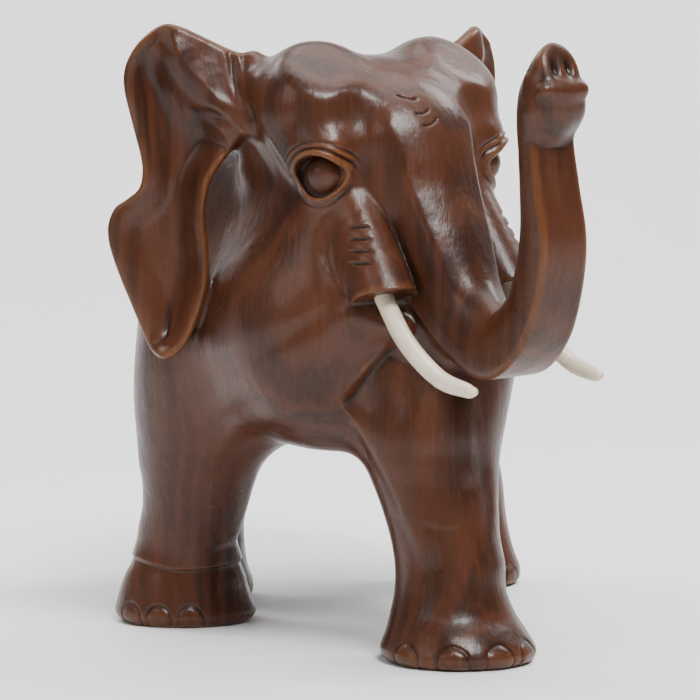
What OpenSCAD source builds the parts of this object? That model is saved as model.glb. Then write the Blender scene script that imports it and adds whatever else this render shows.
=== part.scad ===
// A walking elephant with a raised trunk, carved from a glued-up blank of wood.
// The shape is one smooth pile of round masses. Each block of the blank is the part of that
// pile inside its own cell, so that neighbouring blocks meet on flat glue faces.

/* [Figure] */
// Height from the soles to the ear tips
figure_h = 316; // [250:1:380]
// Diameter of a tusk where it leaves its sleeve
tusk_d = 9.4; // [8.6:0.2:10.4]
// Diameter of the peg at a tusk's inner end
peg_d = 6; // [4:0.5:7]
// Length of the peg
peg_len = 16; // [8:1:18]
// Diameter of an eyeball
eye_d = 19.2; // [18:0.2:21]
// Glue gap round a peg and an eyeball
glue_gap = 0.15; // [0.05:0.05:0.3]

/* [Fineness] */
// Points round a leg, the trunk and the tail
ring_points = 20; // [16:2:24]
// Points round the torso and the head
mass_points = 36; // [28:4:40]

/* [Hidden] */
LEGS = ["leg_front_left", "leg_front_right", "leg_hind_left", "leg_hind_right"];
SIDES = ["left", "right"];
design_h = 316;
unit = figure_h / design_h;
stand_centre = [12.4, -12.7, 0];

// The head's own frame: x to the animal's right, y forward, z up, turned and slightly rolled.
head_centre = [40, -119, 235];
head_turn = 33;
head_roll = 4;
head_f = [sin(head_turn), -cos(head_turn), 0];
head_r = [-cos(head_turn) * cos(head_roll), -sin(head_turn) * cos(head_roll), -sin(head_roll)];
head_u = cross(head_r, head_f);

function at_head(q) = head_centre + q.x * head_r + q.y * head_f + q.z * head_u;
function to_head(p) = let (d = p - head_centre) [d * head_r, d * head_f, d * head_u];
function side(s) = s == "left" ? -1 : 1;
function flip(q, s) = [q.x * side(s), q.y, q.z];
function unit_vec(v) = v / norm(v);

// Masses. A limb is [a, b, radius at a, radius at b, blend], a lump is [centre, radii, blend].
torso_masses = [
    [[0, 45, 174], [103, 150, 84], 30],
    [[4, -92, 168], [57, 68, 66], 30],
    [[-53, -57, 148], [0, -98, 158], 42, 52, 24],
    [[-60, -45, 119], [4, -85, 152], 33, 45, 20],
    [[-32, -28, 200], [46, 48, 68], 18],
    [[0, 145, 175], [84, 60, 80], 25],
    [[0, -60, 225], [0, 130, 225], 36, 36, 40],
];
neck_masses = [[[22, -78, 228], [0, -10, 195], 54, 72, 30]];

// Each leg: shoulder or hip, knee, ankle, foot centre, then the four radii.
function leg_row(name) =
    name == "leg_front_left" ?
            [[52, -92, 178], [55, -126, 95], [64, -142, 38], [67, -145, 16], [50, 34, 28, 36]] :
    name == "leg_front_right" ?
            [[-52, -42, 176], [-65, -36, 95], [-73, -23, 42], [-75, -19, 16], [42, 34, 27, 34]] :
    name == "leg_hind_left" ?
            [[50, 118, 170], [66, 128, 92], [78, 127, 38], [81, 126, 16], [58, 33, 25, 32]] :
    [[-52, 98, 170], [-66, 78, 92], [-72, 70, 38], [-75, 68, 16], [58, 33, 25, 32]];
function leg_masses(name) = let (r = leg_row(name), w = r[4]) [
    [r[0], r[1], w[0], w[1], 20],
    [r[1], r[2], w[1], w[2], 14],
    [r[2], r[3], w[2], w[3], 10],
    [r[3], [r[3].x, r[3].y, 2], w[3], w[3] + 2, 6],
];

// The trunk's centre line in the head's frame, with its radius.
trunk_line = [
    [0, -10, 28, 40], [0, 12, 0, 34], [0, 33, -32, 27], [0, 52, -62, 21.5], [0, 78, -77, 17.5],
    [0, 98, -67, 16], [0, 110, -48, 15.5], [0, 115.5, -27, 15], [0, 116, -5, 13],
    [0, 115.5, 17, 11.8], [0, 120.5, 38, 12.5], [0, 127, 52, 12],
];
// The trunk's own block starts at this point of the line, on a face square to it.
trunk_root = 3;
trunk_cut = [0, 52, -62];
trunk_cut_dir = unit_vec([0, 1, -1]);
trunk_cut_r = 21.5;
trunk_tip_dir = unit_vec([0, 0.35, 0.94]);
trunk_cell = [56, 56, 150];

function lobe(q, r, k) = [q, r, k];
head_masses = concat(
    [lobe([0, -25, 10], [52, 60, 53.5], 20)],
    [for (s = [-1, 1]) lobe([s * 32, -20, 38], [31, 34, 33], 10)],
    [for (s = [-1, 1]) lobe([s * 43, -2, 17], [19, 20, 16], 10)],
    [for (s = [-1, 1]) lobe([s * 34, -14, -24], [24, 34, 36], 14)],
    [for (s = [-1, 1]) [[s * 34, 8, -12], [s * 36.5, 32, -53], 13.2, 15, 4]],
    [for (s = [-1, 1]) [[s * 50, -50, 52], [s * 50, -54, 12], 13, 9, 14]],
    [for (i = [0:trunk_root]) let (a = trunk_line[i], b = trunk_line[i + 1])
        [[a.x, a.y, a.z], [b.x, b.y, b.z], a[3], b[3], 8]],
    [[[0, -5, -52], [0, 34, -68], 24, 11, 12]]);

// Distance from a point to one mass, and to a smooth pile of them.
function limb_d(p, m) = let (
    ab = m[1] - m[0],
    t = min(1, max(0, (p - m[0]) * ab / (ab * ab))))
    norm(p - m[0] - t * ab) - m[2] - (m[3] - m[2]) * t;
function lump_d(p, m) = let (
    q = p - m[0], r = m[1],
    a = norm([q.x / r.x, q.y / r.y, q.z / r.z]),
    b = norm([q.x / pow(r.x, 2), q.y / pow(r.y, 2), q.z / pow(r.z, 2)]))
    b == 0 ? -min(r) : a < 1 ? max(a * (a - 1) / b, (a - 1) * min(r)) : a * (a - 1) / b;
function mass_d(p, m) = len(m) == 5 ? limb_d(p, m) : lump_d(p, m);
function blend(a, b, k) = let (h = max(k - abs(a - b), 0) / k) min(a, b) - h * h * k / 4;
function pile_d(p, masses, i = 0, d = 1000) = i == len(masses) ? d :
    pile_d(p, masses, i + 1, blend(d, mass_d(p, masses[i]), masses[i][len(masses[i]) - 1]));

neck_blend = 14;
function whole_d(p, masses) = blend(pile_d(p, masses), pile_d(to_head(p), head_masses), neck_blend);

// How far a ray runs inside the pile, never past a limit.
reach_steps = 22;
skin_gap = 0.1;
function reach(o, dir, masses, with_head, limit, t = 0, n = reach_steps) =
    n == 0 || t >= limit ? min(t, limit) :
    let (p = o + t * dir, d = with_head ? whole_d(p, masses) : pile_d(p, masses))
    d > -skin_gap ? t : reach(o, dir, masses, with_head, limit, t - d, n - 1);

// Where a ray leaves a box cell.
function exit_1(o, dir, lo, hi) = dir > 0.0001 ? (hi - o) / dir : dir < -0.0001 ? (lo - o) / dir : 1000;
function box_exit(o, dir, cell) = min(
    exit_1(o.x, dir.x, cell[0].x, cell[1].x),
    exit_1(o.y, dir.y, cell[0].y, cell[1].y));

// A closed skin over a list of rings with the same number of points.
module skin(rings) {
    n = len(rings[0]);
    last = len(rings) - 1;
    points = concat([for (r = rings) each r], [middle(rings[0]), middle(rings[last])]);
    first_cap = len(points) - 2;
    last_cap = len(points) - 1;
    sides = [for (i = [0:last - 1], j = [0:n - 1]) let (a = i * n + j, b = i * n + (j + 1) % n)
        each [[a, b, a + n], [b, b + n, a + n]]];
    caps = [for (j = [0:n - 1]) each
        [[first_cap, (j + 1) % n, j], [last_cap, last * n + j, last * n + (j + 1) % n]]];
    polyhedron(points, concat(sides, caps));
}
function middle(ring) = [for (k = [0:2]) [for (p = ring) p[k]] * [for (p = ring) 1] / len(ring)];

module placed() {
    scale(unit) translate(-stand_centre) children();
}

// The legs' cells.
leg_cell_top = 150;
cell_inner = 14;
cell_below = 10;
function leg_cell(name) =
    name == "leg_front_left" ? [[cell_inner, -215, -1], [140, -64, leg_cell_top]] :
    name == "leg_front_right" ? [[-140, -100, -1], [-cell_inner, 20, leg_cell_top]] :
    name == "leg_hind_left" ? [[cell_inner, 66, -1], [140, 190, leg_cell_top]] :
    [[-140, 22, -1], [-cell_inner, 140, leg_cell_top]];

sole_edge = 2.5;
leg_levels = [0, sole_edge, 8, 16, 25, 34, 44, 58, 74, 88, 98, 108, 120, 135, leg_cell_top];
sole_inset = 0.955;
function leg_axis(name, z) = let (r = leg_row(name), k = min(1, max(0, (z - r[2].z) / (r[1].z - r[2].z))),
    h = min(1, max(0, (z - r[1].z) / (r[0].z - r[1].z))))
    [for (i = [0:1]) r[2][i] + (r[1][i] - r[2][i]) * k + (r[0][i] - r[1][i]) * h];

module leg(name) {
    masses = concat(torso_masses, leg_masses(name));
    cell = leg_cell(name);
    rings = [for (z = leg_levels) let (c = leg_axis(name, z), o = [c[0], c[1], max(z, sole_edge)])
        [for (i = [0:ring_points - 1]) let (
            w = 360 * i / ring_points,
            dir = [cos(w), -sin(w), 0],
            t = reach(o, dir, masses, false, box_exit(o, dir, cell)))
            [o.x, o.y, z] + t * dir * (z == 0 ? sole_inset : 1)]];
    color("saddlebrown") placed() skin(rings);
}

module in_head() {
    multmatrix([
        [head_r.x, head_f.x, head_u.x, head_centre.x],
        [head_r.y, head_f.y, head_u.y, head_centre.y],
        [head_r.z, head_f.z, head_u.z, head_centre.z],
        [0, 0, 0, 1]]) children();
}

// The head's block, seen in its own frame.
head_cell_at = [-130, -70, -78];
head_cell_size = [260, 260, 200];
module head_cell() {
    in_head() translate(head_cell_at) cube(head_cell_size);
}

torso_rings = 26;
torso_front = -158;
torso_back = 203;
torso_centre_z = 178;
pole_gap = 8;
long_reach = 190;
function ray(w) = [cos(w), 0, sin(w)];
torso_mid = (torso_back + torso_front) / 2;
torso_half = (torso_back - torso_front) / 2;
torso_end = torso_mid + torso_half * cos(pole_gap);

module torso() {
    masses = concat(torso_masses, neck_masses, [for (name = LEGS) each leg_masses(name)]);
    rings = [for (i = [0:torso_rings]) let (
        o = [0,
             torso_mid - torso_half * cos(pole_gap + (180 - 2 * pole_gap) * i / torso_rings), torso_centre_z])
        [for (j = [0:mass_points - 1]) let (dir = ray(360 * j / mass_points))
            o + dir * reach(o, dir, masses, false, long_reach)]];
    color("saddlebrown") placed() difference() {
        skin(rings);
        for (name = LEGS) let (c = leg_cell(name), below = [0, 0, cell_below])
            translate(c[0] - below) cube(c[1] - c[0] + below);
        head_cell();
    }
}

// Sleeves, sockets and eyes sit in the head's frame.
function sleeve_end(s) = flip([36.5, 32, -53], s);
tusk_dir = unit_vec([0.04, 0.68, -0.73]);
function tusk_out(s) = flip(tusk_dir, s);
sleeve_r = 15.5;
socket_depth = 30;
peg_end_gap = 0.5;
function eye_at(s) = flip([46.6, 3, 6.8], s);
eye_out = unit_vec([0.86, 0.5, 0.05]);
module along(v) {
    rotate([0, acos(v.z), atan2(v.y, v.x)]) children();
}
module tusk_seat(s) {
    translate(sleeve_end(s)) along(tusk_out(s)) {
        cylinder(r = sleeve_r, h = socket_depth);
        translate([0, 0, -peg_len / unit - peg_end_gap])
            cylinder(d = (peg_d + 2 * glue_gap) / unit, h = peg_len / unit + 2 * peg_end_gap);
    }
}
module eye_seat(s) {
    r = (eye_d / 2 + glue_gap) / unit;
    translate(eye_at(s)) {
        sphere(r = r);
        along(flip(eye_out, s)) cylinder(r = r, h = socket_depth);
    }
}

// The ear's own frame: a runs outwards from the root, w forwards, u up.
ear_sweep = 35;
ear_root = [60, -53];
ear_cut = -3;
ear_cell_at = [ear_cut, -16, 13];
ear_cell_size = [90, 32, 95];
ear_thick = 7;
ear_bowl = 7;
ear_rim = 0.3;
ear_lean = 0.0585;
left_ear_drop = 8;
function in_ear(a, w, u, s) = let (out = a - ear_lean * u) flip([
    ear_root.x + out * cos(ear_sweep) + w * sin(ear_sweep),
    ear_root.y - out * sin(ear_sweep) + w * cos(ear_sweep), u], s);
module ear_cell(s) {
    mirror([s == "left" ? 1 : 0, 0, 0]) translate([ear_root.x, ear_root.y, 0]) rotate([0, 0, -ear_sweep])
        multmatrix([[1, 0, -ear_lean], [0, 1, 0], [0, 0, 1]]) translate(ear_cell_at) cube(ear_cell_size);
}
// Front and outer edges of the ear, as [height, distance from the root].
ear_front_edge = [[-75, 45], [-70, 34], [-64, 25], [-56, 21], [-46, 18], [-30, 18], [-11, 20], [6, 16],
    [14, 11],
    [21, 6], [27, ear_cut], [68, ear_cut], [74, 10], [81, 22], [85.5, 31], [88, 39]];
ear_outer_edge = [[-75, 48], [-61, 55], [-41, 63], [-23, 69], [-14, 70], [-8, 68], [-2, 63], [2, 56], [7, 52],
    [13, 51], [31, 55], [54, 61], [64, 62.5], [72, 59], [80, 52], [85.5, 46], [88, 42]];
ear_levels = [-75, -70, -62, -52, -40, -28, -16, -8, -2, 3, 10, 20, 27.5, 38, 50, 60, 67.5, 74, 80, 85, 88];
ear_columns = 7;

module ear(s) {
    shift = s == "left" ? -left_ear_drop : 0;
    rings = [for (u = ear_levels) let (
        lo = lookup(u, ear_front_edge), hi = lookup(u, ear_outer_edge),
        row = [for (i = [0:ear_columns]) let (k = i / ear_columns)
            [lo + (hi - lo) * k, -ear_bowl * sin(180 * k), ear_thick / 2 * (i == ear_columns ? ear_rim : 1)]],
        front = [for (q = row) in_ear(q[0], q[1] + q[2], u + shift, s)],
        back = [for (q = row) in_ear(q[0], q[1] - q[2], u + shift, s)])
        concat(front, reversed(back))];
    color("saddlebrown") placed() in_head() skin(s == "right" ? rings : [for (r = rings) reversed(r)]);
}
function reversed(list) = [for (i = [len(list) - 1:-1:0]) list[i]];

head_rings = 26;
head_eye = [0, -15, 0];
module head() {
    masses = concat(torso_masses, neck_masses, leg_masses("leg_front_left"), leg_masses("leg_front_right"));
    o = at_head(head_eye);
    rings = [for (i = [0:head_rings]) let (v = -90 + pole_gap / 2 + (180 - pole_gap) * i / head_rings)
        [for (j = [0:mass_points - 1]) let (
            w = 360 * j / mass_points,
            dir = cos(v) * (cos(w) * head_r - sin(w) * head_f) + sin(v) * head_u)
            o + dir * reach(o, dir, masses, true, long_reach)]];
    color("saddlebrown") placed() difference() {
        intersection() {
            skin(rings);
            head_cell();
        }
        in_head() {
            translate(trunk_cut) along(trunk_cut_dir)
                translate([-trunk_cell.x / 2, -trunk_cell.y / 2, 0]) cube(trunk_cell);
            for (s = SIDES) {
                tusk_seat(s);
                eye_seat(s);
                ear_cell(s);
            }
        }
    }
}

// A smooth curve through a list of points, and its rings.
curve_steps = 3;
function curve(pts, i, t) = let (
    n = len(pts) - 1,
    a = pts[max(i - 1, 0)], b = pts[i], c = pts[min(i + 1, n)], d = pts[min(i + 2, n)])
    0.5 * (2 * b + (c - a) * t + (2 * a - 5 * b + 4 * c - d) * t * t + (3 * b - a - 3 * c + d) * t * t * t);
function stations(pts, steps) = concat(
    [for (i = [0:len(pts) - 2], k = [0:steps - 1]) curve(pts, i, k / steps)], [pts[len(pts) - 1]]);
function xyz(q) = [q[0], q[1], q[2]];
function ring_at(c, r, dir, across, n) = let (
    x = unit_vec(across - (across * dir) * dir), y = cross(dir, x))
    [for (i = [0:n - 1]) let (w = -360 * i / n) c + r * (cos(w) * x + sin(w) * y)];
function tube(line, first_dir, last_dir, across, n) = let (last = len(line) - 1)
    [for (i = [0:last]) let (
        dir = i == 0 ? first_dir : i == last ? last_dir : unit_vec(xyz(line[i + 1] - line[i - 1])))
        ring_at(xyz(line[i]), line[i][3], dir, across, n)];

module trunk() {
    held = [for (i = [trunk_root + 1:len(trunk_line) - 1]) trunk_line[i]];
    line = stations(concat([concat(trunk_cut, [trunk_cut_r])], held), curve_steps);
    color("saddlebrown") placed() in_head()
        skin(tube(line, trunk_cut_dir, trunk_tip_dir, [1, 0, 0], ring_points));
}

// A tusk's centre line from its sleeve to its tip, with its share of the full radius.
tusk_line = [[36.5, 32, -53, 1], [38.5, 52, -74, 0.99], [39, 78, -90, 0.93], [37.5, 98, -95, 0.76],
    [37, 103, -95.5, 0.5]];
tusk_tip_dir = unit_vec([0, 1, -0.1]);
peg_overlap = 2;
module tusk(s) {
    base = sleeve_end(s);
    r = tusk_d / 2 / unit;
    line = stations([for (q = tusk_line) concat(flip(xyz(q), s), q[3] * r)], curve_steps + 1);
    color("ivory") placed() in_head() {
        skin(tube(line, tusk_out(s), tusk_tip_dir, [1, 0, 0], ring_points));
        translate(base + peg_overlap * tusk_out(s)) along(-tusk_out(s))
            cylinder(d = peg_d / unit, h = peg_len / unit + peg_overlap);
    }
}

module eye(s) {
    color("#2a1610") placed() in_head() translate(eye_at(s)) sphere(d = eye_d / unit);
}

tail_line = [[0, torso_end, 190, 8.5], [0, torso_end + 6, 186, 7], [3, torso_end + 9.5, 172, 5.5],
    [7, torso_end + 8, 150, 5], [10, torso_end + 5, 130, 6.5], [12, torso_end + 1, 108, 2.5]];
tail_points = 14;
module tail() {
    color("saddlebrown") placed()
        skin(tube(stations(tail_line, curve_steps), [0, 1, 0], [0, 0, -1], [1, 0, 0], tail_points));
}

torso();
head();
trunk();
tail();
for (name = LEGS) leg(name);
for (s = SIDES) {
    ear(s);
    tusk(s);
    eye(s);
}
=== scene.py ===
"""A walking elephant with a raised trunk, carved from wood, with glued-in tusks.

The carving is sculpted as a distance field in millimetres: round masses are piled up and
blended, then lids, folds, grooves and nails are cut. The field is turned into a mesh, which is
pressed onto the field's surface and split finer where the carving is fine.
"""
import math
from concurrent.futures import ThreadPoolExecutor

import bpy
import numpy as np
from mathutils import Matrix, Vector


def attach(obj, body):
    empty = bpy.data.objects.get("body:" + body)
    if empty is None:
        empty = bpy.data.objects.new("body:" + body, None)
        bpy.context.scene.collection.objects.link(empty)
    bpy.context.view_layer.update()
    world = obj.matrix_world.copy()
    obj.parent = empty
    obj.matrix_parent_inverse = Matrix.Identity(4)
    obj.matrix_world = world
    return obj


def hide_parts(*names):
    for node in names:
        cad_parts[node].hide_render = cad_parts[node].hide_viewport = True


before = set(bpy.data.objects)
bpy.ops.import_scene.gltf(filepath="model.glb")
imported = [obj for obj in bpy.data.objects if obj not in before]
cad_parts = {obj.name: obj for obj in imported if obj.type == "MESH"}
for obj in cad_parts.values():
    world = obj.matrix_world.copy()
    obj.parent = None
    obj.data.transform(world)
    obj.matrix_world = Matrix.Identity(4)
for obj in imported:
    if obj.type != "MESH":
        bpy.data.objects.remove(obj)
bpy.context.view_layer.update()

MM = 0.001
# The sculptor's origin, seen from the frame's.
STAND = np.array([12.4, -12.7, 0])

# ---------------------------------------------------------------- points and frames
F32 = np.float32


def vec(*v):
    return np.array(v, dtype=F32)


HEAD_TURN = math.radians(33)
HEAD_ROLL = math.radians(4)
FORWARD = vec(math.sin(HEAD_TURN), -math.cos(HEAD_TURN), 0)
RIGHT = vec(-math.cos(HEAD_TURN) * math.cos(HEAD_ROLL), -math.sin(HEAD_TURN) * math.cos(HEAD_ROLL),
            -math.sin(HEAD_ROLL))
UP = np.cross(RIGHT, FORWARD).astype(F32)
HEAD_AXES = np.stack([RIGHT, FORWARD, UP])
HEAD_CENTRE = vec(40, -119, 235)


def to_head(p):
    return (p - HEAD_CENTRE) @ HEAD_AXES.T


def from_head(q):
    return np.asarray(q, dtype=F32) @ HEAD_AXES + HEAD_CENTRE


# ---------------------------------------------------------------- masses and blends
def limb(p, a, b, ra, rb):
    """A round bar from a to b whose radius runs from ra to rb."""
    a, ab = vec(*a), vec(*b) - vec(*a)
    q = p - a
    t = np.clip(q @ ab / (ab @ ab), 0, 1)
    return np.sqrt(((q - t[:, None] * ab) ** 2).sum(1)) - (ra + (rb - ra) * t)


def lump(p, centre, radii):
    """An ellipsoid along the axes."""
    r = vec(*radii)
    q = p - vec(*centre)
    a = np.sqrt(((q / r) ** 2).sum(1))
    b = np.sqrt(((q / r ** 2) ** 2).sum(1)) + F32(1e-6)
    d = a * (a - 1) / b
    return np.where(a < 1, np.maximum(d, (a - 1) * r.min()), d)


def oval(x, y, rx, ry):
    """Distance to an ellipse whose half axes may differ from point to point."""
    k = np.hypot(x / rx, y / ry)
    d = k * (k - 1) / np.maximum(np.hypot(x / rx ** 2, y / ry ** 2), 1e-4)
    return np.where(k < 1, np.maximum(d, (k - 1) * np.minimum(rx, ry)), d)


def rounded(dx, dy, r):
    """Distance to a corner rounded by r, where dx and dy are measured from the rounding's centre."""
    return np.minimum(np.maximum(dx, dy), 0) + np.hypot(np.maximum(dx, 0), np.maximum(dy, 0)) - r


def folded(q):
    """The points with the head's two sides laid over each other."""
    return np.stack([np.abs(q[:, 0]), q[:, 1], q[:, 2]], 1)


# An oval's distance is an estimate, so it is scaled down a little.
OVAL_SHARE = 0.93


def blend(a, b, k):
    """Joins two distances with a fillet of about k."""
    h = np.maximum(k - np.abs(a - b), 0) / k
    return np.minimum(a, b) - h * h * (k / 4)


def carve(a, b, k):
    """Takes b out of a, with a rounding of about k."""
    return -blend(-a, b, k)


def pile(p, masses):
    """A smooth pile: each row is (kind, its arguments, blend)."""
    d = None
    for kind, args, k in masses:
        e = kind(p, *args)
        d = e if d is None else blend(d, e, k)
    return d


def within(p, lo, hi, build, far=40.0):
    """build(p) inside a box, and a plain large distance outside it, where it can't matter."""
    m = ((p > vec(*lo)) & (p < vec(*hi))).all(1)
    d = np.full(len(p), far, dtype=F32)
    if m.any():
        d[m] = build(p[m])
    return d


def over(p, d, lo, hi, change):
    """Applies change(points, distances) inside a box and leaves the rest."""
    m = ((p > vec(*lo)) & (p < vec(*hi))).all(1)
    if m.any():
        d = d.copy()
        d[m] = change(p[m], d[m])
    return d


def smooth(x, lo, hi):
    t = np.clip((x - lo) / (hi - lo), 0, 1)
    return t * t * (3 - 2 * t)


def bump(x, width):
    return np.exp(-(x / width) ** 2)


# ---------------------------------------------------------------- curves and flat maps
def curve(points, steps, closed=False):
    """A Catmull-Rom curve through the points, which may have any number of columns."""
    p = np.array(points, dtype=float)
    n = len(p)
    out = []
    for i in range(n if closed else n - 1):
        pick = [(i + j) % n if closed else min(max(i + j, 0), n - 1) for j in (-1, 0, 1, 2)]
        a, b, c, d = p[pick]
        for k in range(steps):
            t = k / steps
            out.append(0.5 * (2 * b + (c - a) * t + (2 * a - 5 * b + 4 * c - d) * t * t
                              + (3 * b - a - 3 * c + d) * t ** 3))
    if not closed:
        out.append(p[-1])
    return np.array(out)


class Flat:
    """A table of values over a plane, read back with straight interpolation."""

    def __init__(self, lo, hi, step, build, steep=None):
        self.lo, self.step = np.array(lo, dtype=float), step
        self.nx, self.ny = (int((hi[i] - lo[i]) / step) + 2 for i in (0, 1))
        across = lo[0] + step * np.arange(self.nx)
        along = lo[1] + step * np.arange(self.ny)
        x, y = np.meshgrid(across, along, indexing="ij")
        self.tables = [t.reshape(self.nx, self.ny).astype(F32) for t in build(x.ravel(), y.ravel())]
        if steep is not None:
            gx, gy = np.gradient(self.tables[steep], step)
            self.tables.append(np.sqrt(1 + gx ** 2 + gy ** 2).astype(F32))

    def at(self, x, y):
        gx = np.clip((x - self.lo[0]) / self.step, 0, self.nx - 1.001)
        gy = np.clip((y - self.lo[1]) / self.step, 0, self.ny - 1.001)
        i, j = gx.astype(int), gy.astype(int)
        u, v = (gx - i).astype(F32), (gy - j).astype(F32)
        values = []
        for t in self.tables:
            here = t[i, j] * (1 - u) + t[i + 1, j] * u
            above = t[i, j + 1] * (1 - u) + t[i + 1, j + 1] * u
            values.append(here * (1 - v) + above * v)
        return values


def to_line(x, y, line):
    """Distance to an open line, the signed side (positive on the left) and the place along it, 0 to 1."""
    best = np.full(len(x), 1e9)
    side = np.zeros(len(x))
    place = np.zeros(len(x))
    n = len(line) - 1
    for i in range(n):
        (ax, ay), (bx, by) = line[i][:2], line[i + 1][:2]
        ex, ey = bx - ax, by - ay
        t = np.clip(((x - ax) * ex + (y - ay) * ey) / (ex * ex + ey * ey), 0, 1)
        dx, dy = x - ax - t * ex, y - ay - t * ey
        d = np.hypot(dx, dy)
        m = d < best
        best[m], side[m], place[m] = d[m], (ex * dy - ey * dx)[m], (i + t[m]) / n
    return best, np.where(side >= 0, best, -best), place


def outline_distance(x, y, line):
    """Signed distance to a closed outline, negative inside."""
    ring = np.vstack([line, line[:1]])
    d, _, _ = to_line(x, y, ring)
    inside = np.zeros(len(x), dtype=bool)
    for (ax, ay), (bx, by) in zip(ring[:-1], ring[1:]):
        cross = (ay > y) != (by > y)
        inside ^= cross & (x < (bx - ax) * (y - ay) / (by - ay + 1e-12) + ax)
    return np.where(inside, -d, d)


# ---------------------------------------------------------------- body and legs
# Each mass: its kind, its arguments, and how far it blends into those before it.
TORSO = [
    (lump, ((0, 45, 174), (103, 150, 84)), 0),
    (lump, ((4, -92, 168), (57, 68, 66)), 30),
    (limb, ((-50, -56, 148), (0, -98, 158), 38, 52), 22),
    (lump, ((-32, -30, 206), (46, 48, 72)), 18),
    (limb, ((-60, -45, 124), (0, -88, 158), 30, 42), 16),
    (lump, ((0, 145, 175), (84, 60, 80)), 25),
    (limb, ((0, -60, 225), (0, 130, 225), 36, 36), 40),
    (limb, ((22, -78, 228), (0, -10, 195), 54, 72), 30),
]

# Each leg's level sections from the sole up: height, centre, half width across and half length.
LEGS = {
    "front_left": [
        (0, 67.5, -146, 34.5, 36), (2.5, 67.4, -146, 37.5, 39), (6, 67.2, -146, 38.5, 40),
        (10, 66.8, -146, 37, 38.5), (16, 66, -145, 34, 35.5), (24, 64.5, -143, 30.5, 31),
        (35, 63.5, -142, 27.5, 28.5), (47, 63.3, -140, 27.3, 28.5), (60, 61, -137, 27.3, 29.5),
        (75, 58.5, -133, 29.3, 31.5), (88, 56, -129, 32, 34), (100, 54, -125, 35, 37.5),
        (120, 53, -118, 40, 44), (145, 52, -106, 46, 50), (174, 51, -93, 48, 50), (192, 47, -87, 40, 42),
        (206, 41, -81, 27, 30), (216, 37, -77, 12, 14)],
    "front_right": [
        (0, -74.5, -19, 33, 31), (2.5, -74.7, -18.5, 36.5, 33), (6, -74.8, -18.5, 38, 34),
        (12, -75.3, -18.5, 36.5, 33), (19, -75.5, -19, 34.3, 31.5), (25, -75, -20, 32.6, 30),
        (31, -74.5, -21, 30.5, 28.5), (38, -74, -22, 28.3, 27.5), (44, -73.8, -23, 27, 27.5),
        (51, -72, -25, 27.8, 28), (63, -69, -29, 28.3, 29), (76, -67, -33, 30, 31), (89, -66, -36, 32.5, 34),
        (105, -61.5, -38, 36, 39), (130, -57, -40, 38.5, 43), (168, -53, -42, 39, 44),
        (188, -49, -42, 34, 39), (204, -45, -42, 24, 29), (216, -42, -42, 12, 15)],
    "hind_left": [
        (0, 81, 126, 30, 30), (2.5, 81.3, 126, 33, 33), (6, 81.5, 126, 34, 34), (11, 81.5, 126, 33.5, 33),
        (20, 81, 126.5, 30.5, 30), (32, 80.5, 127, 28, 27.5), (45, 80, 127.5, 26.5, 26.5),
        (60, 77.5, 128, 27.5, 28), (78, 71, 128.5, 31, 33), (95, 66, 128, 35, 38), (120, 60, 125, 46, 46),
        (160, 52, 119, 55, 56), (180, 48, 118, 51, 53), (200, 42, 118, 39, 43), (216, 37, 118, 21, 26)],
    "hind_right": [
        (0, -75, 68, 30, 30), (2.5, -75.3, 68, 33, 33), (6, -75.5, 68, 34, 34), (11, -75, 68, 33, 33),
        (20, -74.5, 68.5, 29.5, 30), (32, -73.5, 69.5, 27, 27.5), (45, -72, 70.5, 25.5, 26.5),
        (60, -70, 73, 26.5, 28), (78, -68, 76, 31, 33), (95, -66, 80, 35, 38), (120, -60, 87, 46, 46),
        (160, -53, 96, 55, 56), (180, -49, 98, 51, 53), (200, -43, 98, 39, 43), (216, -38, 98, 21, 26)],
}
# The middle of each toenail, in degrees round the foot from straight ahead.
NAILS = {"front_left": (-44, -6, 30, 62), "front_right": (-52, -22, 8), "hind_left": (-42, -8, 26, 56),
         "hind_right": (-56, -24, 8, 40)}
NAIL_HALF = 7.2
LEG_STEPS = 8
LEG_LOFTS = {name: curve(rows, LEG_STEPS) for name, rows in LEGS.items()}
LEG_REACH = 42
TOES_TOP = 30
TOES_SKIN = 8
FOOT_R = 36
NAIL_FOOT = 5


def leg(p, name):
    """One leg: an oval section at each height, with toenails round the foot."""
    loft = LEG_LOFTS[name]
    z = p[:, 2]
    cx, cy, rx, ry = (np.interp(z, loft[:, 0], loft[:, k]).astype(F32) for k in (1, 2, 3, 4))
    x, y = p[:, 0] - cx, p[:, 1] - cy
    d = OVAL_SHARE * oval(x, y, rx, ry)
    top = loft[-1, 0]
    d = np.where(z > top, np.hypot(np.maximum(d, 0), z - top) + np.minimum(d, 0), d)
    low = (z < TOES_TOP) & (np.abs(d) < TOES_SKIN)
    if low.any():
        d[low] += toes(x[low], y[low], z[low], name)
    if name == "front_right":
        d = d + cuff(x, z)
    return d


def toes(x, y, z, name):
    """Arched nails, raised inside a fine cut."""
    around = np.degrees(np.arctan2(x, -y))
    rise = np.zeros(len(x), dtype=F32)
    for middle in NAILS[name]:
        across = np.radians(around - middle) * FOOT_R
        edge = np.hypot(across, np.maximum(z - NAIL_FOOT, 0) * 1.05) - NAIL_HALF
        rise += 0.6 * bump(edge - 0.2, 0.9) - 0.4 * smooth(-edge, 0, 3.5)
    return rise


def cuff(x, z):
    """The step round the right fore ankle, where the foot goes in under the leg."""
    level = 31 + 0.2 * np.maximum(-x - 4, 0) + 0.1 * np.maximum(x - 8, 0)
    h = z - level
    return 0.7 * smooth(-h, -1, 1.4) * smooth(h, -14, -1) - 0.7 * smooth(h, -0.8, 1) * smooth(-h, -14, -1)


def leg_box(name):
    loft = LEG_LOFTS[name]
    middle, reach = loft[:, 1:3], loft[:, 3:5]
    lo, hi = (middle - reach).min(0) - LEG_REACH, (middle + reach).max(0) + LEG_REACH
    return (*lo, -60), (*hi, 270)


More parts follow.
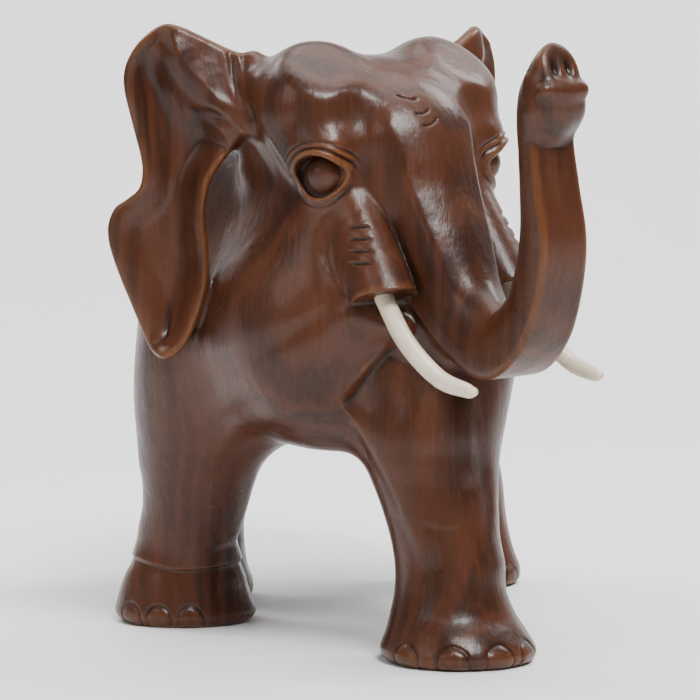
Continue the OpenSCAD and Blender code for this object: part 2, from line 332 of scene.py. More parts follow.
# Folds of the chest and the left fore leg, drawn from the front: line, depth of cut, its width, and step.
CHEST_FOLDS = [
    ([(34, 160), (28.6, 154), (20, 144.5), (12, 134), (6, 128)], 0.4, 3.2, 4.2),
    ([(6, 128), (14, 114), (22, 101), (29, 88.7), (37, 71), (44, 55), (47, 44)], 0.2, 2.2, -1.3),
    ([(75, 135), (77, 110), (80, 85), (82, 62)], 1.3, 3.5, 0),
    ([(68, 132), (70, 108), (72, 84)], -1.2, 4, 0),
    ([(50, 68), (57, 65.5), (69, 66)], 0.45, 1.8, 0),
]


# Shallow flutes that run down the chest to the right shoulder, drawn from the front.
FLUTES = [
    [(30, 158), (22, 151), (-17, 133), (-62, 107), (-92, 74)],
    [(12, 184), (4, 172), (-43, 143), (-84, 112)],
    [(6, 122), (-14, 112), (-44, 94), (-62, 74)],
]


def flute_tables(x, z):
    rise = np.zeros(len(x))
    for points in FLUTES:
        away, _, place = to_line(x, z, curve(points, 6))
        rise += 1.1 * bump(away, 5.5) * smooth(place, 0, 0.3) * smooth(-place, -1, -0.7)
    return [rise]


FLUTE_MAP = Flat((-112, 50), (45, 195), 0.5, flute_tables)


def flutes(p, d):
    return d + FLUTE_MAP.at(p[:, 0], p[:, 2])[0] * smooth(-p[:, 1], 20, 50)


def fold_tables(x, z):
    rise = np.zeros(len(x))
    for points, deep, wide, step in CHEST_FOLDS:
        away, side, place = to_line(x, z, curve(points, 6))
        fade = smooth(place, 0, 0.25) * smooth(-place, -1, -0.75)
        rise += fade * (deep * bump(away, wide) + step * smooth(side, 0, 2 * wide) * bump(away, 20))
    return [rise]


FOLD_MAP = Flat((-10, 30), (110, 175), 0.5, fold_tables)


def folds(p, d):
    return d + FOLD_MAP.at(p[:, 0], p[:, 2])[0]


TAIL = [
    (limb, ((0, 196, 192), (2, 208, 182), 9, 7.5), 0),
    (limb, ((2, 208, 182), (4, 211, 165), 7.5, 6), 4),
    (limb, ((4, 211, 165), (8, 209, 145), 6, 5.2), 4),
    (limb, ((8, 209, 145), (11, 206, 128), 5.2, 5.4), 4),
    (lump, ((12, 203.5, 118), (6.8, 6, 16)), 3),
]


def tail(p):
    """A hanging tail close to the rump, with cut strands in its tuft."""
    strands = 0.45 * np.cos(2.4 * (p[:, 0] - 12)) * smooth(-p[:, 2], -132, -124)
    return pile(p, TAIL) + strands


TAIL_BLEND = 5
LEG_BLEND = {"front_left": 20, "front_right": 26, "hind_left": 20, "hind_right": 20}
# The corners of the boxes that each detail stays inside.
TAIL_BOX = ((-30, 170, 80), (45, 235, 225))
FLUTE_BOX = ((-111, -200, 51), (44, -15, 194))
FOLD_BOX = ((-9, -210, 31), (109, -112, 174))


def body(p):
    d = pile(p, TORSO)
    for name in LEGS:
        lo, hi = leg_box(name)
        d = blend(d, within(p, lo, hi, lambda q: leg(q, name)), LEG_BLEND[name])
    d = blend(d, within(p, *TAIL_BOX, tail), TAIL_BLEND)
    d = over(p, d, *FLUTE_BOX, flutes)
    return over(p, d, *FOLD_BOX, folds)


# ---------------------------------------------------------------- trunk
# The trunk's centre line in the head's mid-plane: forward, up, half width, inner and outer thickness.
TRUNK = [
    (-16, 36, 33, 24, 30), (2, 20, 31, 27, 30), (17, -4, 27, 24, 28), (33, -32, 23.5, 21, 24),
    (52, -62, 20, 18.5, 21), (78, -77, 17, 16.5, 17), (98, -67, 15, 16, 16.5), (110, -48, 13.8, 15.5, 16),
    (115.5, -27, 13.4, 14.5, 15.5), (116, -5, 13.2, 12, 12), (115.5, 17, 12.6, 10.5, 10.5),
    (117.5, 28, 12.6, 10.5, 10.5), (120.5, 38, 12.6, 11, 11.5),
]
TIP = vec(0, 124, 38)
TIP_LEAN = 0.3
NOSTRIL_OUT = vec(0, 0.936, 0.351)


def trunk_tables(f, u):
    line = curve([t[:2] for t in TRUNK], 12)
    sizes = curve([t[2:] for t in TRUNK], 12)
    away, n, place = to_line(f, u, line)
    n = np.where(place < 1e-4, away, n)
    g = place * (len(sizes) - 1)
    i = np.clip(g.astype(int), 0, len(sizes) - 2)
    w, ti, to = ((sizes[i] * (1 - (g - i)[:, None]) + sizes[i + 1] * (g - i)[:, None])).T
    return [n, w, ti, to, place, away]


TRUNK_MAP = Flat((-60, -120), (180, 110), 0.5, trunk_tables)


def trunk(q):
    """The trunk: flat with crisp edges below, which is its outer side once it is raised, and round above."""
    n, w, t_in, t_out, place, away = TRUNK_MAP.at(q[:, 1], q[:, 2])
    n = -n
    raised = smooth(place, 0.3, 0.45)
    crisp = 3 + 14 * (1 - raised)
    flat = t_out - 4 * raised - 10 * (1 - raised)
    x = np.abs(q[:, 0])
    dx, dy = x - w + crisp, n - t_out + crisp
    square = rounded(dx, dy, crisp)
    depth = t_in + flat
    half = oval(x, n - flat, w, depth)
    band = np.hypot(np.maximum(x - w + 8, 0), np.maximum(-n - t_in + 8, 0)) - 8
    band = np.maximum(band, np.minimum(np.maximum(x - w, -n - t_in), 0))
    half = half + (band - half) * 0.55 * (1 - smooth(place, 0.22, 0.4))
    return np.maximum(np.where(n > flat, square, half), away - np.maximum(t_in, t_out) - 1.5)


def trunk_tip(q, d):
    """The tip: a leaning blunt end, cut to a tilted nostril face above a projecting lip."""
    v = q - TIP
    v[:, 1] -= TIP_LEAN * v[:, 2]
    d = blend(d, OVAL_SHARE * lump(v, (0, 0, 0), (13.4, 14, 25)), 5)
    face = (q - vec(0, 137.2, 43)) @ NOSTRIL_OUT
    d = carve(d, -face, 2.6)
    m = folded(q)
    d = blend(d, limb(m, (0, 127.5, 30), (7.5, 127, 31), 6.5, 6), 10)
    d = blend(d, limb(m, (0, 135.2, 40), (10.4, 134.6, 40.2), 3.8, 3.2), 4)
    return carve(d, lump(m, (3.9, 136.5, 52), (2.3, 4.2, 5.6)), 1.6)


# ---------------------------------------------------------------- head
def both(x, y, z):
    return [(s * x, y, z) for s in (-1, 1)]


HEAD = [(lump, ((0, -25, 10), (52, 60, 53.5)), 0)]
HEAD += [(lump, (c, (33, 34, 34)), 10) for c in both(35, -20, 38.5)]
HEAD += [(lump, (c, (19, 20, 16)), 10) for c in both(43, -2, 17)]
HEAD += [(lump, (c, (24, 34, 36)), 14) for c in both(34, -14, -24)]
HEAD += [(limb, ((0, -5, -52), (0, 34, -68), 24, 11), 12)]
HEAD += [(limb, (a, b, 13, 9), 14) for a, b in zip(both(50, -50, 52), both(50, -54, 12))]
SLEEVE_TOP, SLEEVE_END = vec(34, 8, -12), vec(36.5, 32, -53)
TUSK_DIR = vec(0.04, 0.68, -0.73) / np.linalg.norm([0.04, 0.68, -0.73]).astype(F32)
EYE = vec(46.6, 3, 6.8)
EYE_OUT = vec(0.86, 0.5, 0.05) / np.linalg.norm([0.86, 0.5, 0.05]).astype(F32)
EYE_ALONG = np.cross(vec(0, 0, 1), EYE_OUT).astype(F32)
EYE_ALONG = EYE_ALONG / np.linalg.norm(EYE_ALONG)
EYE_UP = np.cross(EYE_OUT, EYE_ALONG).astype(F32)
EYE_R = 9.6
LID_OPENING = [(-12, 0), (-9.5, 5.5), (-3, 8.6), (4, 8.2), (9.5, 5), (12.8, 0), (10.5, -5.5),
               (5, -9.8), (-2, -11.5), (-8.5, -8.5)]
LID_CREASE = [(-16.5, 1), (-13.5, 6.5), (-7.5, 10.8), (1, 12.2), (8.5, 10.4), (14.5, 5.5), (17.5, 1)]
LID_FOLD = [(-19, 4), (-15.5, 10), (-8, 14), (2, 15.2), (10.5, 13), (17, 7.5), (20, 3)]
LID_BAG = [(-16, -4), (-13.5, -9.5), (-8.5, -14.5), (-1.5, -16.5), (5.5, -14.5), (11.5, -9.5), (15.5, -4)]


# The lines round the eye: line, depth of cut, its width, and the lift beside it.
LID_CUTS = [(LID_CREASE, 0.9, 0.65, 0.8), (LID_FOLD, 0.5, 0.7, 0.4), (LID_BAG, 0.4, 1.4, 0.6)]


def eye_tables(s, z):
    opening = outline_distance(s, z, curve(LID_OPENING, 6, closed=True))
    rise = np.zeros(len(s))
    for line, deep, wide, lift in LID_CUTS:
        away, inner, place = to_line(s, z, curve(line, 6))
        inner = inner if line is LID_BAG else -inner
        fade = smooth(place, 0, 0.18) * smooth(-place, -1, -0.82)
        rise += fade * (lift * bump(inner - 2.2 * wide, 1.8 * wide) - deep * bump(away, wide))
    return [opening, rise]


EYE_MAP = Flat((-30, -30), (30, 30), 0.25, eye_tables)


TRUNK_BLEND = 10
TIP_BOX = ((-30, 95, 15), (30, 160, 85))
HOLLOW_BOX = ((-1, -70, -95), (95, 85, 90))
SLEEVE_BOX = ((5, -30, -95), (75, 80, 10))
EYE_BOX = ((15, -40, -45), (90, 60, 50))
NICK_BOX = ((-7, 15, 21), (23, 60, 51))


def head(q):
    """Skull, brows, cheeks, sleeves and trunk in the head's frame."""
    d = pile(q, HEAD)
    d = blend(d, trunk(q), TRUNK_BLEND)
    m = folded(q)
    d = over(q, d, *TIP_BOX, trunk_tip)
    d = over(m, d, *HOLLOW_BOX, hollows)
    d = over(m, d, *SLEEVE_BOX, sleeve)
    d = over(m, d, *EYE_BOX, eye_folds)
    return over(q, d, *NICK_BOX, nicks)


PLATE_AT, PLATE_OUT = vec(47, -5, 60), vec(0.198, 0.634, 0.747)
PLATE_EDGE = 4
# What is cut from each side of the head or laid on it, in order: how, the mass, and its blend.
HOLLOWS = [
    (carve, lump, ((38, 33, 10), (11, 14, 22)), 9),
    (carve, lump, ((40, 25, 38), (13, 9, 12)), 8),
    (blend, limb, ((57, -34, 52), (54, -10, 12), 4, 3.5), 9),
    (carve, limb, ((72, -34, 34), (67, -14, -8), 8, 9), 7),
    (carve, lump, ((69, -24, -30), (13, 15, 15)), 6),
    (carve, lump, ((57, 19, -36), (14, 17, 26)), 5),
    (blend, lump, ((26, -4, -56), (24, 30, 16)), 10),
    (blend, limb, ((52, 4, -46), (46, 20, -62), 3, 3), 8),
    (blend, limb, ((46, 20, -62), (28, 34, -70), 3, 3.5), 8),
]


def hollows(v, d):
    """The flat of the forehead, the valley between brow and trunk, the temple, the cheek and the lip."""
    d = carve(d, -((v - PLATE_AT) @ PLATE_OUT), PLATE_EDGE)
    for how, kind, args, k in HOLLOWS:
        d = how(d, kind(v, *args), k)
    return d


# Short cuts across the forehead, drawn from the front.
NICKS = [
    [(15, 43.5), (11.5, 41.5), (7.5, 40.5), (3.5, 41)],
    [(10, 33.5), (5, 33.5), (0.5, 35.5)],
    [(8.5, 27.5), (3, 28), (-2, 31)],
]


def nick_tables(x, u):
    cut = np.zeros(len(x))
    for line in NICKS:
        away, _, place = to_line(x, u, curve(line, 6))
        cut += 0.9 * bump(away, 0.6) * smooth(place, 0, 0.2) * smooth(-place, -1, -0.75)
    return [cut]


NICK_MAP = Flat((-8, 20), (24, 52), 0.25, nick_tables)


def nicks(v, d):
    return d + NICK_MAP.at(v[:, 0], v[:, 2])[0]


SLEEVE_RINGS = 4
RING_SPACING = 5.7
LOWEST_RING = 36.5
SLEEVE_CUT = vec(0.06, 0.22, -0.974)


def sleeve(v, d):
    """A round sleeve with four cuts on its outer side and a flat end where the tusk leaves it."""
    tube = limb(v, SLEEVE_TOP, SLEEVE_END + 8 * TUSK_DIR, 13.2, 15)
    along = (v - SLEEVE_END) @ SLEEVE_CUT
    outward = v[:, 0] - 36 - 0.5 * (v[:, 1] - 22)
    for i in range(SLEEVE_RINGS):
        level = v[:, 2] + 0.02 * (v[:, 1] - 25) + LOWEST_RING - RING_SPACING * i
        tube = tube + 1.15 * bump(level, 0.9) * smooth(outward, -1, 4) * smooth(-outward, -15, -8)
    tube = carve(tube, -along, 1.2)
    return blend(d, tube, 2.5)


def eye_folds(v, d):
    """The eye's pocket, its lids, the creases above them and the bag below."""
    w = v - EYE
    s, z, o = w @ EYE_ALONG, w @ EYE_UP, w @ EYE_OUT
    opening, rise = EYE_MAP.at(s, z)
    lid = 0.9 * bump(opening - 0.8, 1.3) + rise
    d = d - lid * smooth(o, -4, 2)
    pocket = np.maximum(opening, EYE_R * 0.35 - o)
    return carve(d, pocket, 0.7)


# ---------------------------------------------------------------- ears
EAR_SWEEP = {1: math.radians(35), -1: math.radians(29)}
EAR_ROOT = (60, -53)
EAR_OUTLINE = [
    (-8, 66), (2, 69), (10, 72.5), (22, 79), (31, 83.5), (39, 85.5), (46.5, 82.5), (53.5, 76),
    (58.5, 68), (60.3, 60), (59.7, 52), (57.8, 43), (55, 31), (52.5, 21), (51.5, 12), (53.5, 4),
    (60, -1), (66, -5), (69.5, -13), (69.3, -22), (66.6, -32), (63, -42), (59, -52), (55, -62),
    (51, -72), (46.5, -79.5), (39, -82), (31.5, -78), (26, -69), (21.5, -57), (18.3, -45),
    (17.5, -34), (18.3, -23), (19.2, -11), (18.5, -3), (16, 7), (11.6, 14), (6, 21), (0, 28),
    (-8, 34),
]
EAR_ARRIS = [(41, 90), (40, 86), (35.5, 80), (32, 70.5), (27.8, 63.5), (20.2, 54.7), (12.6, 46.6), (6.6, 40),
             (0, 31), (-8, 24)]
# The stretches of the outline that carry the rolled lip and the outer rim.
EAR_INNER = EAR_OUTLINE[26:37]
EAR_OUTER = EAR_OUTLINE[7:26]
EAR_GROOVES = [[(10, 78), (7, 66), (5, 54), (2, 44)], [(2, 76), (0, 64), (-2, 52), (-5, 42)]]
EAR_CANAL = [(-6, 6), (-1, 22), (4, 33), (14, 40), (24, 42)]


def ear_tables(a, u):
    edge = outline_distance(a, u, curve(EAR_OUTLINE, 5, closed=True))
    _, fold, along = to_line(a, u, curve(EAR_ARRIS, 6))
    fold = -fold
    lip, _, _ = to_line(a, u, curve(EAR_INNER, 5))
    rim, _, place = to_line(a, u, curve(EAR_OUTER, 5))
    canal, _, _ = to_line(a, u, curve(EAR_CANAL, 5))
    bowl = -8 * smooth(-edge, 0, 18)
    ledge = np.where(fold > 0, 8 - 0.42 * fold, bowl + (8 - bowl) * bump(fold, 13))
    top = smooth(along, 0, 0.35) * smooth(u, 14, 34)
    w = bowl + (ledge - bowl) * top
    w += 7.5 * bump(lip, 8) * smooth(-u, -30, 0)
    w += 3 * bump(rim, 8) * smooth(u, 30, 55) - 4 * bump(rim, 6) * smooth(-u, -8, 6) * smooth(place, 0.3, 0.5)
    w += 0.5 * bump(canal - 5, 3) - 0.7 * bump(canal, 2.4)
    for line in EAR_GROOVES:
        away, _, place = to_line(a, u, curve(line, 5))
        w -= 0.8 * bump(away, 2.3) * smooth(place, 0, 0.3) * smooth(-place, -1, -0.7)
    return [edge, w, 3.1 + 2.5 * smooth(-a, -25, 5)]


EAR_MAP = Flat((-14, -88), (80, 96), 0.5, ear_tables, steep=1)
EAR_LEAN = {1: 0.0585, -1: -0.1}
EAR_DROOP = {1: 0, -1: 7}
EAR_ROUND = 2.6


def ear(q, side):
    v = q - vec(side * EAR_ROOT[0], EAR_ROOT[1], 0)
    x = side * v[:, 0]
    c, s = math.cos(EAR_SWEEP[side]), math.sin(EAR_SWEEP[side])
    a, w = x * c - v[:, 1] * s, x * s + v[:, 1] * c
    a = a + EAR_LEAN[side] * v[:, 2]
    u = v[:, 2] + EAR_DROOP[side]
    edge, mid, thick, steep = EAR_MAP.at(a, u)
    return rounded(edge + EAR_ROUND, np.abs(w - mid) / steep - thick + EAR_ROUND, EAR_ROUND)


# ---------------------------------------------------------------- the whole carving
HEAD_BOX = ((-110, -110, -130), (110, 190, 120))
EAR_BOX = {1: ((20, -130, -100), (145, 0, 115)), -1: ((-145, -130, -110), (-20, 0, 105))}
NECK_BLEND = 14
EAR_BLEND = 7
SOLE_ROUND = 1.5


def carving(p):
    """The field of the whole carving, in the sculptor's millimetres."""
    p = p.astype(F32)
    q = to_head(p)
    d = body(p)
    d = blend(d, within(q, *HEAD_BOX, head), NECK_BLEND)
    for side in (1, -1):
        d = blend(d, within(q, *EAR_BOX[side], lambda v: ear(v, side)), EAR_BLEND)
    return carve(d, p[:, 2], SOLE_ROUND)


# ---------------------------------------------------------------- from field to mesh
CELL = 1.8
BLOCK = 5
SPREAD = 1.3
THREADS = 4
BATCH = 30000
AXES = np.eye(3, dtype=F32)


def in_threads(work, p):
    """work(p) in batches on several threads."""
    batches = [p[i:i + BATCH] for i in range(0, len(p), BATCH)]
    with ThreadPoolExecutor(THREADS) as pool:
        return np.concatenate(list(pool.map(work, batches)))


def sample(field, low, high):
    """The field on a regular grid, worked out only near its surface."""
    low = vec(*low)
    side = CELL * BLOCK
    count = np.ceil((vec(*high) - low) / side).astype(int)
    block = np.stack(np.meshgrid(*[np.arange(n) for n in count], indexing="ij"), -1).reshape(-1, 3)
    middle = in_threads(field, (low + (block + 0.5) * side).astype(F32))
    near = np.abs(middle) < SPREAD * side
    grid = np.repeat(middle.reshape(count), BLOCK, 0).repeat(BLOCK, 1).repeat(BLOCK, 2)
    step = np.stack(np.meshgrid(*[np.arange(BLOCK)] * 3, indexing="ij"), -1).reshape(-1, 3)
    at = (block[near][:, None] * BLOCK + step).reshape(-1, 3)
    grid[at[:, 0], at[:, 1], at[:, 2]] = in_threads(field, (low + at * CELL).astype(F32))
    return grid


def net(grid, low):
    """Surface nets: one vertex in each cell that the surface crosses, one quad on each crossed edge."""
    inside = grid < 0
    corners = [(i, j, k) for i in (0, 1) for j in (0, 1) for k in (0, 1)]
    cut = [slice(0, -1), slice(1, None)]
    filled = sum(inside[cut[i], cut[j], cut[k]].astype(np.int8) for i, j, k in corners)
    cell = np.argwhere((filled > 0) & (filled < 8))
    number = np.full(filled.shape, -1, dtype=np.int64)
    number[tuple(cell.T)] = np.arange(len(cell))
    total, hits = np.zeros((len(cell), 3)), np.zeros(len(cell))
    for a in corners:
        for axis in range(3):
            if a[axis]:
                continue
            b = tuple(v + (n == axis) for n, v in enumerate(a))
            da, db = grid[tuple((cell + a).T)], grid[tuple((cell + b).T)]
            crossed = (da < 0) != (db < 0)
            t = np.where(crossed, da / np.where(crossed, da - db, 1), 0)
            total += np.where(crossed[:, None], np.array(a) + t[:, None] * np.eye(3)[axis], 0)
            hits += crossed
    verts = vec(*low) + (cell + total / hits[:, None]) * CELL
    tris = []
    for axis in range(3):
        lead, trail = [slice(None)] * 3, [slice(None)] * 3
        lead[axis], trail[axis] = slice(0, -1), slice(1, None)
        edge = np.argwhere(inside[tuple(lead)] != inside[tuple(trail)])
        b, c = AXES[(axis + 1) % 3].astype(int), AXES[(axis + 2) % 3].astype(int)
        quad = np.stack([number[tuple((edge - o).T)] for o in (0 * b, b, b + c, c)], 1)
        out = inside[tuple(edge.T)]
        quad[~out] = quad[~out][:, ::-1]
        tris += [quad[:, [0, 1, 2]], quad[:, [0, 2, 3]]]
    return verts.astype(F32), np.concatenate(tris)


def slope(field, p, h):
    return np.stack([field(p + h * e) - field(p - h * e) for e in AXES], 1) / (2 * h)


def press(field, p, rounds):
    """Moves points along the slope onto the surface."""
    def work(q):
        for _ in range(rounds):
            g = slope(field, q, 0.3)
            step = field(q) / np.maximum((g * g).sum(1), 0.25)
            q = q - np.clip(step, -1, 1)[:, None] * g
        return q
    return in_threads(work, p.astype(F32))


def edges_of(tris):
    """The mesh's edges, and each triangle's three edge numbers."""
    ends = np.sort(tris[:, [0, 1, 1, 2, 2, 0]].reshape(-1, 2), 1)
    key = ends[:, 0] * (tris.max() + 1) + ends[:, 1]
    _, first, back = np.unique(key, return_index=True, return_inverse=True)
    return ends[first], back.reshape(-1, 3)


def relax(verts, tris, share):
    """Evens out the triangles."""
    ends, _ = edges_of(tris)
    total = np.zeros_like(verts, dtype=float)
    count = np.bincount(ends.ravel(), minlength=len(verts))
    for k in range(3):
        total[:, k] = np.bincount(ends[:, 0], verts[ends[:, 1], k], len(verts))
        total[:, k] += np.bincount(ends[:, 1], verts[ends[:, 0], k], len(verts))
    return (verts + share * (total / count[:, None] - verts)).astype(F32)


def split(verts, tris, wanted):
    """Halves the wanted edges, and splits the triangles on both sides of each to match."""
    ends, of = edges_of(tris)
    pick = wanted(ends)
    new = np.where(pick, len(verts) + np.cumsum(pick) - 1, -1)
    verts = np.concatenate([verts, verts[ends[pick]].mean(1)])
    mid = new[of]
    count = (mid >= 0).sum(1)
    out = [tris[count == 0]]
    turn_of_two = np.where(count == 2, (np.argmax(mid < 0, 1) + 1) % 3, 0)
    turn = np.where(count == 1, np.argmax(mid >= 0, 1), turn_of_two)
    order = (turn[:, None] + np.arange(3)) % 3
    t, m = np.take_along_axis(tris, order, 1), np.take_along_axis(mid, order, 1)
    a, b, c = t.T
    ab, bc, ca = m.T
    for n, fans in ((1, ((a, ab, c), (ab, b, c))), (2, ((ab, b, bc), (a, ab, bc), (a, bc, c))),
                    (3, ((a, ab, ca), (ab, b, bc), (ca, bc, c), (ab, bc, ca)))):
        out += [np.stack(f, 1)[count == n] for f in fans]
    return verts, np.concatenate(out)


def corner_normals(verts, tris):
    face = np.cross(verts[tris[:, 1]] - verts[tris[:, 0]], verts[tris[:, 2]] - verts[tris[:, 0]])
    n = np.stack([np.bincount(tris.ravel(), np.repeat(face[:, k], 3), len(verts)) for k in range(3)], 1)
    return n / np.maximum(np.linalg.norm(n, axis=1), 1e-9)[:, None]


FINEST = 0.5
BEND = math.cos(math.radians(13))


def refine(field, verts, tris, fine):
    """Splits edges that are long for their place, then those that the surface bends across."""
    def long(ends):
        length = np.linalg.norm(verts[ends[:, 0]] - verts[ends[:, 1]], axis=1)
        return length > 1.4 * fine(verts[ends].mean(1))

    def bent(ends):
        length = np.linalg.norm(verts[ends[:, 0]] - verts[ends[:, 1]], axis=1)
        return ((normal[ends[:, 0]] * normal[ends[:, 1]]).sum(1) < BEND) & (length > 1.4 * FINEST)

    for rule in (long, long, bent, bent):
        old = len(verts)
        normal = corner_normals(verts, tris)
        verts, tris = split(verts, tris, rule)
        verts = np.concatenate([verts[:old], press(field, verts[old:], 2)])
    return verts, tris


def round_at(field, p, h):
    """How strongly the surface rounds over at each point, from hollow (negative) to edge (positive)."""
    def work(q):
        return sum(field(q + h * e) + field(q - h * e) for e in AXES) / h ** 2 - 6 * field(q) / h ** 2
    return in_threads(work, p.astype(F32))


def to_object(name, verts, tris, values):
    """A smooth object in metres in the frame, with a number at each vertex for each of the values."""
    mesh = bpy.data.meshes.new(name)
    mesh.vertices.add(len(verts))
    mesh.vertices.foreach_set("co", ((verts - STAND) * MM).astype(F32).ravel())
    mesh.loops.add(3 * len(tris))
    mesh.loops.foreach_set("vertex_index", tris.astype(np.int32).ravel())
    mesh.polygons.add(len(tris))
    mesh.polygons.foreach_set("loop_start", np.arange(0, 3 * len(tris), 3, dtype=np.int32))
    mesh.update(calc_edges=True)
    mesh.validate()
    mesh.shade_smooth()
    for key, value in values.items():
        mesh.attributes.new(key, "FLOAT", "POINT").data.foreach_set("value", value.astype(F32))
    piece = bpy.data.objects.new(name, mesh)
    bpy.context.scene.collection.objects.link(piece)
    return piece


# Edge lengths wanted on the head, feet and trunk tip, and round the eyes, and where each begins or ends.
DETAIL = 1.1
EYE_DETAIL = 0.65
EYE_REACH = 26
FEET_TOP = 32
TIP_FROM = 100


def fine_at(p):
    """The edge length wanted at each point."""
    q = to_head(p)
    want = np.full(len(p), CELL, dtype=F32)
    head_part = (np.abs(q) < vec(90, 80, 90)).all(1) & (q[:, 1] > -60)
    want[head_part] = DETAIL
    want[p[:, 2] < FEET_TOP] = DETAIL
    m = folded(q)
    eye = np.linalg.norm(m - EYE, axis=1)
    want[eye < EYE_REACH] = EYE_DETAIL
    want[q[:, 1] > TIP_FROM] = DETAIL
    return want


FIGURE_LOW, FIGURE_HIGH = (-128, -250, -4), (150, 232, 332)
EDGE_REACH = 1.0
RIDGE_REACH = 3.5


def carve_figure():
    low, high = vec(*FIGURE_LOW), vec(*FIGURE_HIGH)
    grid = sample(carving, low, high)
    verts, tris = net(grid, low)
    for _ in range(2):
        verts = press(carving, relax(verts, tris, 0.5), 2)
    verts, tris = refine(carving, verts, tris, fine_at)
    # Curvature at a fine and a broad reach; the wood uses it for painted highlights on edges and painted
    # shade in hollows.
    values = {"edge": round_at(carving, verts, EDGE_REACH), "ridge": round_at(carving, verts, RIDGE_REACH)}
    return to_object("carving", verts, tris, values)


# ---------------------------------------------------------------- materials
def material(name):
    m = bpy.data.materials.new(name)
    m.use_nodes = True
    tree = m.node_tree
    tree.nodes.clear()
    out = tree.nodes.new("ShaderNodeOutputMaterial")
    shader = tree.nodes.new("ShaderNodeBsdfPrincipled")
    tree.links.new(shader.outputs[0], out.inputs["Surface"])
    return m, tree, shader


def add(tree, kind, settings=(), **inputs):
    """A node with its settings and inputs; an input is a value or another node's output."""
    n = tree.nodes.new("ShaderNode" + kind)
    for key, value in dict(settings).items():
        setattr(n, key, value)
    for key, value in inputs.items():
        numbered = key[0] == "i" and key[1:].isdigit()
        socket = n.inputs[int(key[1:])] if numbered else n.inputs[key.replace("_", " ")]
        if isinstance(value, bpy.types.NodeSocket):
            tree.links.new(value, socket)
        else:
            socket.default_value = value
    return n


def noise(tree, at, scale, detail=3, rough=0.5):
    return add(tree, "TexNoise", Vector=at, Scale=scale, Detail=detail, Roughness=rough).outputs["Fac"]


def stretched(tree, at, scale, turn=(0, 0, 0)):
    return add(tree, "Mapping", Vector=at, Scale=scale, Rotation=turn).outputs[0]


def ramp(tree, value, lo, hi, to_lo=0.0, to_hi=1.0):
    return add(tree, "MapRange", {"interpolation_type": "SMOOTHSTEP"}, Value=value, From_Min=lo, From_Max=hi,
               To_Min=to_lo, To_Max=to_hi).outputs[0]


def math_node(tree, kind, a, b):
    return add(tree, "Math", {"operation": kind}, i0=a, i1=b).outputs[0]


def mix(tree, share, a, b, kind="MIX"):
    return add(tree, "Mix", {"data_type": "RGBA", "blend_type": kind}, i0=share, i6=a, i7=b).outputs[2]


def rgb(r, g, b):
    """A colour from its sRGB values, 0 to 255."""
    def linear(v):
        v /= 255
        return v / 12.92 if v <= 0.04045 else ((v + 0.055) / 1.055) ** 2.4
    return (linear(r), linear(g), linear(b), 1)


DARK = rgb(48, 26, 17)
BROWN = rgb(72, 40, 25)
RED = rgb(80, 43, 27)
# Amber: the lighter streaks of the grain, and the painted highlight on convex ridges and edges.
AMBER = rgb(116, 70, 32)
# Near-black for the pores of the grain, and for painted shade in the hollows and creases.
PORE_AND_SHADE_BLACK = rgb(26, 14, 10)


